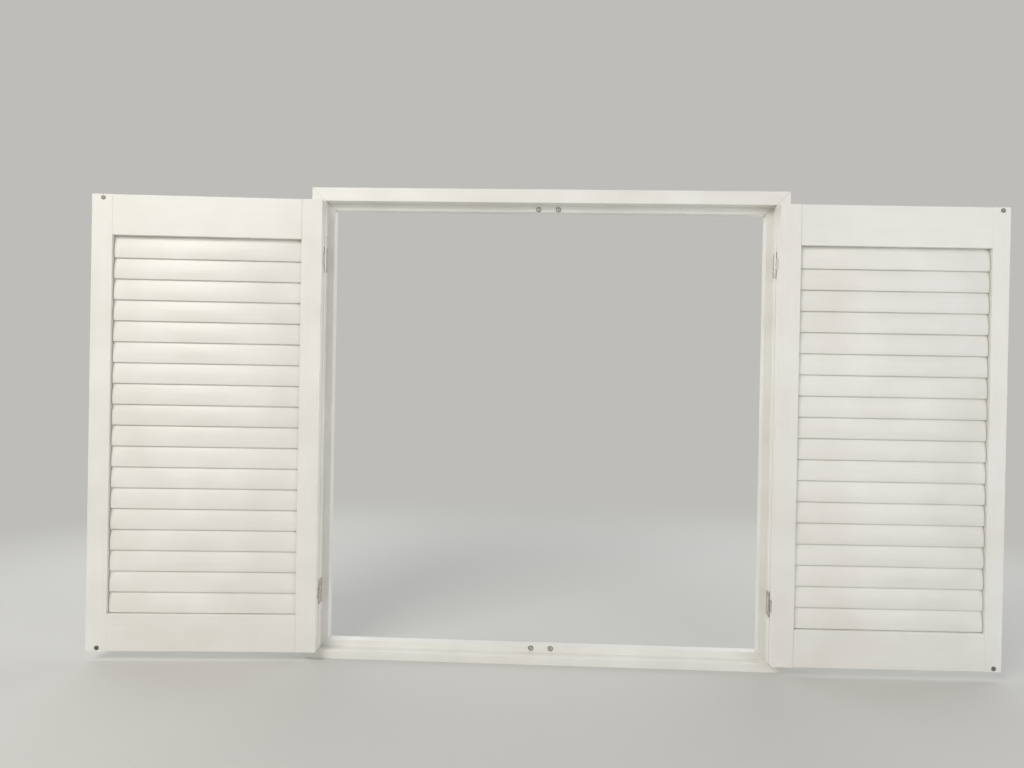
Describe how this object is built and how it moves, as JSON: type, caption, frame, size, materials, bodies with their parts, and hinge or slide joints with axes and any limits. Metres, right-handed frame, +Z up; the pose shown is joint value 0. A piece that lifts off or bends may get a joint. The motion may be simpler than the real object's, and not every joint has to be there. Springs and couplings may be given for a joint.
{
  "type": "louvred shutters",
  "caption": "Pair of louvred window shutters with tilting blades and rods, side-hung in a mitred, rebated frame.",
  "frame": {"origin": "middle of the sill's underside, in the plane of the wall's face, which is the back of the face flange", "axes": "+X to the right as seen from the room, +Y from the room into the wall, +Z up"},
  "size_m": [2.3494, 0.1353, 1.2441],
  "materials": {
    "painted_wood": "satin white paint",
    "hinge_steel": "satin nickel plated steel",
    "magnet": "dark nickel plated",
    "strike_steel": "dark plated steel",
    "screw_steel": "zinc plated steel"
  },
  "bodies": {
    "frame": {"head": "painted_wood", "sill": "painted_wood", "left_jamb": "painted_wood", "right_jamb": "painted_wood", "frame_hinge_leaves": "hinge_steel", "hinge_pins": "hinge_steel", "catch_magnets": "magnet", "frame_screws": "screw_steel"},
    "left_panel": {"left_hinge_stile": "painted_wood", "left_meeting_stile": "painted_wood", "left_top_rail": "painted_wood", "left_bottom_rail": "painted_wood", "left_hinge_leaves": "hinge_steel", "left_hinge_screws": "screw_steel", "left_strikes": "strike_steel"},
    "left_slat_09": {"left_slat_09": "painted_wood"},
    "left_slat_01": {"left_slat_01": "painted_wood"},
    "left_slat_02": {"left_slat_02": "painted_wood"},
    "left_slat_03": {"left_slat_03": "painted_wood"},
    "left_slat_04": {"left_slat_04": "painted_wood"},
    "left_slat_05": {"left_slat_05": "painted_wood"},
    "left_slat_06": {"left_slat_06": "painted_wood"},
    "left_slat_07": {"left_slat_07": "painted_wood"},
    "left_slat_08": {"left_slat_08": "painted_wood"},
    "left_slat_10": {"left_slat_10": "painted_wood"},
    "left_slat_11": {"left_slat_11": "painted_wood"},
    "left_slat_12": {"left_slat_12": "painted_wood"},
    "left_slat_13": {"left_slat_13": "painted_wood"},
    "left_slat_14": {"left_slat_14": "painted_wood"},
    "left_slat_15": {"left_slat_15": "painted_wood"},
    "left_slat_16": {"left_slat_16": "painted_wood"},
    "left_slat_17": {"left_slat_17": "painted_wood"},
    "left_slat_18": {"left_slat_18": "painted_wood"},
    "left_tilt_rod": {"left_tilt_rod": "painted_wood"},
    "right_panel": {"right_hinge_stile": "painted_wood", "right_meeting_stile": "painted_wood", "right_top_rail": "painted_wood", "right_bottom_rail": "painted_wood", "right_hinge_leaves": "hinge_steel", "right_hinge_screws": "screw_steel", "right_strikes": "strike_steel"},
    "right_slat_09": {"right_slat_09": "painted_wood"},
    "right_slat_01": {"right_slat_01": "painted_wood"},
    "right_slat_02": {"right_slat_02": "painted_wood"},
    "right_slat_03": {"right_slat_03": "painted_wood"},
    "right_slat_04": {"right_slat_04": "painted_wood"},
    "right_slat_05": {"right_slat_05": "painted_wood"},
    "right_slat_06": {"right_slat_06": "painted_wood"},
    "right_slat_07": {"right_slat_07": "painted_wood"},
    "right_slat_08": {"right_slat_08": "painted_wood"},
    "right_slat_10": {"right_slat_10": "painted_wood"},
    "right_slat_11": {"right_slat_11": "painted_wood"},
    "right_slat_12": {"right_slat_12": "painted_wood"},
    "right_slat_13": {"right_slat_13": "painted_wood"},
    "right_slat_14": {"right_slat_14": "painted_wood"},
    "right_slat_15": {"right_slat_15": "painted_wood"},
    "right_slat_16": {"right_slat_16": "painted_wood"},
    "right_slat_17": {"right_slat_17": "painted_wood"},
    "right_slat_18": {"right_slat_18": "painted_wood"},
    "right_tilt_rod": {"right_tilt_rod": "painted_wood"}
  },
  "joints": [
    {"name": "left_panel_hinge", "type": "hinge", "parent": "frame", "child": "left_panel", "pos_m": [-0.5865, -0.0232, 0.61504], "axis": [0, 0, -1], "range_deg": [-176, 4]},
    {"name": "left_louvre_tilt", "type": "hinge", "parent": "left_panel", "child": "left_slat_09", "pos_m": [-0.88008, -0.06097, 0.58744], "axis": [-0.9976, -0.0698, 0], "range_deg": [0, 130]},
    {"name": "left_slat_01_tilt", "type": "hinge", "parent": "left_panel", "child": "left_slat_01", "pos_m": [-0.88008, -0.06097, 0.15544], "axis": [-0.9976, -0.0698, 0], "range_deg": [0, 130]},
    {"name": "left_slat_02_tilt", "type": "hinge", "parent": "left_panel", "child": "left_slat_02", "pos_m": [-0.88008, -0.06097, 0.20944], "axis": [-0.9976, -0.0698, 0], "range_deg": [0, 130]},
    {"name": "left_slat_03_tilt", "type": "hinge", "parent": "left_panel", "child": "left_slat_03", "pos_m": [-0.88008, -0.06097, 0.26344], "axis": [-0.9976, -0.0698, 0], "range_deg": [0, 130]},
    {"name": "left_slat_04_tilt", "type": "hinge", "parent": "left_panel", "child": "left_slat_04", "pos_m": [-0.88008, -0.06097, 0.31744], "axis": [-0.9976, -0.0698, 0], "range_deg": [0, 130]},
    {"name": "left_slat_05_tilt", "type": "hinge", "parent": "left_panel", "child": "left_slat_05", "pos_m": [-0.88008, -0.06097, 0.37144], "axis": [-0.9976, -0.0698, 0], "range_deg": [0, 130]},
    {"name": "left_slat_06_tilt", "type": "hinge", "parent": "left_panel", "child": "left_slat_06", "pos_m": [-0.88008, -0.06097, 0.42544], "axis": [-0.9976, -0.0698, 0], "range_deg": [0, 130]},
    {"name": "left_slat_07_tilt", "type": "hinge", "parent": "left_panel", "child": "left_slat_07", "pos_m": [-0.88008, -0.06097, 0.47944], "axis": [-0.9976, -0.0698, 0], "range_deg": [0, 130]},
    {"name": "left_slat_08_tilt", "type": "hinge", "parent": "left_panel", "child": "left_slat_08", "pos_m": [-0.88008, -0.06097, 0.53344], "axis": [-0.9976, -0.0698, 0], "range_deg": [0, 130]},
    {"name": "left_slat_10_tilt", "type": "hinge", "parent": "left_panel", "child": "left_slat_10", "pos_m": [-0.88008, -0.06097, 0.64144], "axis": [-0.9976, -0.0698, 0], "range_deg": [0, 130]},
    {"name": "left_slat_11_tilt", "type": "hinge", "parent": "left_panel", "child": "left_slat_11", "pos_m": [-0.88008, -0.06097, 0.69544], "axis": [-0.9976, -0.0698, 0], "range_deg": [0, 130]},
    {"name": "left_slat_12_tilt", "type": "hinge", "parent": "left_panel", "child": "left_slat_12", "pos_m": [-0.88008, -0.06097, 0.74944], "axis": [-0.9976, -0.0698, 0], "range_deg": [0, 130]},
    {"name": "left_slat_13_tilt", "type": "hinge", "parent": "left_panel", "child": "left_slat_13", "pos_m": [-0.88008, -0.06097, 0.80344], "axis": [-0.9976, -0.0698, 0], "range_deg": [0, 130]},
    {"name": "left_slat_14_tilt", "type": "hinge", "parent": "left_panel", "child": "left_slat_14", "pos_m": [-0.88008, -0.06097, 0.85744], "axis": [-0.9976, -0.0698, 0], "range_deg": [0, 130]},
    {"name": "left_slat_15_tilt", "type": "hinge", "parent": "left_panel", "child": "left_slat_15", "pos_m": [-0.88008, -0.06097, 0.91144], "axis": [-0.9976, -0.0698, 0], "range_deg": [0, 130]},
    {"name": "left_slat_16_tilt", "type": "hinge", "parent": "left_panel", "child": "left_slat_16", "pos_m": [-0.88008, -0.06097, 0.96544], "axis": [-0.9976, -0.0698, 0], "range_deg": [0, 130]},
    {"name": "left_slat_17_tilt", "type": "hinge", "parent": "left_panel", "child": "left_slat_17", "pos_m": [-0.88008, -0.06097, 1.01944], "axis": [-0.9976, -0.0698, 0], "range_deg": [0, 130]},
    {"name": "left_slat_18_tilt", "type": "hinge", "parent": "left_panel", "child": "left_slat_18", "pos_m": [-0.88008, -0.06097, 1.07344], "axis": [-0.9976, -0.0698, 0], "range_deg": [0, 130]},
    {"name": "left_rod_link", "type": "hinge", "parent": "left_slat_09", "child": "left_tilt_rod", "pos_m": [-0.88043, -0.05603, 0.62269], "axis": [-0.9976, -0.0698, 0], "range_deg": [-130, 0]},
    {"name": "right_panel_hinge", "type": "hinge", "parent": "frame", "child": "right_panel", "pos_m": [0.5865, -0.0232, 0.61504], "axis": [0, 0, 1], "range_deg": [-181.5, 0.5]},
    {"name": "right_louvre_tilt", "type": "hinge", "parent": "right_panel", "child": "right_slat_09", "pos_m": [0.88235, -0.03266, 0.58744], "axis": [-0.9997, -0.0262, 0], "range_deg": [0, 130]},
    {"name": "right_slat_01_tilt", "type": "hinge", "parent": "right_panel", "child": "right_slat_01", "pos_m": [0.88235, -0.03266, 0.15544], "axis": [-0.9997, -0.0262, 0], "range_deg": [0, 130]},
    {"name": "right_slat_02_tilt", "type": "hinge", "parent": "right_panel", "child": "right_slat_02", "pos_m": [0.88235, -0.03266, 0.20944], "axis": [-0.9997, -0.0262, 0], "range_deg": [0, 130]},
    {"name": "right_slat_03_tilt", "type": "hinge", "parent": "right_panel", "child": "right_slat_03", "pos_m": [0.88235, -0.03266, 0.26344], "axis": [-0.9997, -0.0262, 0], "range_deg": [0, 130]},
    {"name": "right_slat_04_tilt", "type": "hinge", "parent": "right_panel", "child": "right_slat_04", "pos_m": [0.88235, -0.03266, 0.31744], "axis": [-0.9997, -0.0262, 0], "range_deg": [0, 130]},
    {"name": "right_slat_05_tilt", "type": "hinge", "parent": "right_panel", "child": "right_slat_05", "pos_m": [0.88235, -0.03266, 0.37144], "axis": [-0.9997, -0.0262, 0], "range_deg": [0, 130]},
    {"name": "right_slat_06_tilt", "type": "hinge", "parent": "right_panel", "child": "right_slat_06", "pos_m": [0.88235, -0.03266, 0.42544], "axis": [-0.9997, -0.0262, 0], "range_deg": [0, 130]},
    {"name": "right_slat_07_tilt", "type": "hinge", "parent": "right_panel", "child": "right_slat_07", "pos_m": [0.88235, -0.03266, 0.47944], "axis": [-0.9997, -0.0262, 0], "range_deg": [0, 130]},
    {"name": "right_slat_08_tilt", "type": "hinge", "parent": "right_panel", "child": "right_slat_08", "pos_m": [0.88235, -0.03266, 0.53344], "axis": [-0.9997, -0.0262, 0], "range_deg": [0, 130]},
    {"name": "right_slat_10_tilt", "type": "hinge", "parent": "right_panel", "child": "right_slat_10", "pos_m": [0.88235, -0.03266, 0.64144], "axis": [-0.9997, -0.0262, 0], "range_deg": [0, 130]},
    {"name": "right_slat_11_tilt", "type": "hinge", "parent": "right_panel", "child": "right_slat_11", "pos_m": [0.88235, -0.03266, 0.69544], "axis": [-0.9997, -0.0262, 0], "range_deg": [0, 130]},
    {"name": "right_slat_12_tilt", "type": "hinge", "parent": "right_panel", "child": "right_slat_12", "pos_m": [0.88235, -0.03266, 0.74944], "axis": [-0.9997, -0.0262, 0], "range_deg": [0, 130]},
    {"name": "right_slat_13_tilt", "type": "hinge", "parent": "right_panel", "child": "right_slat_13", "pos_m": [0.88235, -0.03266, 0.80344], "axis": [-0.9997, -0.0262, 0], "range_deg": [0, 130]},
    {"name": "right_slat_14_tilt", "type": "hinge", "parent": "right_panel", "child": "right_slat_14", "pos_m": [0.88235, -0.03266, 0.85744], "axis": [-0.9997, -0.0262, 0], "range_deg": [0, 130]},
    {"name": "right_slat_15_tilt", "type": "hinge", "parent": "right_panel", "child": "right_slat_15", "pos_m": [0.88235, -0.03266, 0.91144], "axis": [-0.9997, -0.0262, 0], "range_deg": [0, 130]},
    {"name": "right_slat_16_tilt", "type": "hinge", "parent": "right_panel", "child": "right_slat_16", "pos_m": [0.88235, -0.03266, 0.96544], "axis": [-0.9997, -0.0262, 0], "range_deg": [0, 130]},
    {"name": "right_slat_17_tilt", "type": "hinge", "parent": "right_panel", "child": "right_slat_17", "pos_m": [0.88235, -0.03266, 1.01944], "axis": [-0.9997, -0.0262, 0], "range_deg": [0, 130]},
    {"name": "right_slat_18_tilt", "type": "hinge", "parent": "right_panel", "child": "right_slat_18", "pos_m": [0.88235, -0.03266, 1.07344], "axis": [-0.9997, -0.0262, 0], "range_deg": [0, 130]},
    {"name": "right_rod_link", "type": "hinge", "parent": "right_slat_09", "child": "right_tilt_rod", "pos_m": [0.88222, -0.02771, 0.62269], "axis": [-0.9997, -0.0262, 0], "range_deg": [-130, 0]}
  ],
  "couplings": [
    {"joint": "left_slat_01_tilt", "follows": "left_louvre_tilt", "ratio": 1},
    {"joint": "left_slat_02_tilt", "follows": "left_louvre_tilt", "ratio": 1},
    {"joint": "left_slat_03_tilt", "follows": "left_louvre_tilt", "ratio": 1},
    {"joint": "left_slat_04_tilt", "follows": "left_louvre_tilt", "ratio": 1},
    {"joint": "left_slat_05_tilt", "follows": "left_louvre_tilt", "ratio": 1},
    {"joint": "left_slat_06_tilt", "follows": "left_louvre_tilt", "ratio": 1},
    {"joint": "left_slat_07_tilt", "follows": "left_louvre_tilt", "ratio": 1},
    {"joint": "left_slat_08_tilt", "follows": "left_louvre_tilt", "ratio": 1},
    {"joint": "left_slat_10_tilt", "follows": "left_louvre_tilt", "ratio": 1},
    {"joint": "left_slat_11_tilt", "follows": "left_louvre_tilt", "ratio": 1},
    {"joint": "left_slat_12_tilt", "follows": "left_louvre_tilt", "ratio": 1},
    {"joint": "left_slat_13_tilt", "follows": "left_louvre_tilt", "ratio": 1},
    {"joint": "left_slat_14_tilt", "follows": "left_louvre_tilt", "ratio": 1},
    {"joint": "left_slat_15_tilt", "follows": "left_louvre_tilt", "ratio": 1},
    {"joint": "left_slat_16_tilt", "follows": "left_louvre_tilt", "ratio": 1},
    {"joint": "left_slat_17_tilt", "follows": "left_louvre_tilt", "ratio": 1},
    {"joint": "left_slat_18_tilt", "follows": "left_louvre_tilt", "ratio": 1},
    {"joint": "left_rod_link", "follows": "left_louvre_tilt", "ratio": -1},
    {"joint": "right_slat_01_tilt", "follows": "right_louvre_tilt", "ratio": 1},
    {"joint": "right_slat_02_tilt", "follows": "right_louvre_tilt", "ratio": 1},
    {"joint": "right_slat_03_tilt", "follows": "right_louvre_tilt", "ratio": 1},
    {"joint": "right_slat_04_tilt", "follows": "right_louvre_tilt", "ratio": 1},
    {"joint": "right_slat_05_tilt", "follows": "right_louvre_tilt", "ratio": 1},
    {"joint": "right_slat_06_tilt", "follows": "right_louvre_tilt", "ratio": 1},
    {"joint": "right_slat_07_tilt", "follows": "right_louvre_tilt", "ratio": 1},
    {"joint": "right_slat_08_tilt", "follows": "right_louvre_tilt", "ratio": 1},
    {"joint": "right_slat_10_tilt", "follows": "right_louvre_tilt", "ratio": 1},
    {"joint": "right_slat_11_tilt", "follows": "right_louvre_tilt", "ratio": 1},
    {"joint": "right_slat_12_tilt", "follows": "right_louvre_tilt", "ratio": 1},
    {"joint": "right_slat_13_tilt", "follows": "right_louvre_tilt", "ratio": 1},
    {"joint": "right_slat_14_tilt", "follows": "right_louvre_tilt", "ratio": 1},
    {"joint": "right_slat_15_tilt", "follows": "right_louvre_tilt", "ratio": 1},
    {"joint": "right_slat_16_tilt", "follows": "right_louvre_tilt", "ratio": 1},
    {"joint": "right_slat_17_tilt", "follows": "right_louvre_tilt", "ratio": 1},
    {"joint": "right_slat_18_tilt", "follows": "right_louvre_tilt", "ratio": 1},
    {"joint": "right_rod_link", "follows": "right_louvre_tilt", "ratio": -1}
  ]
}
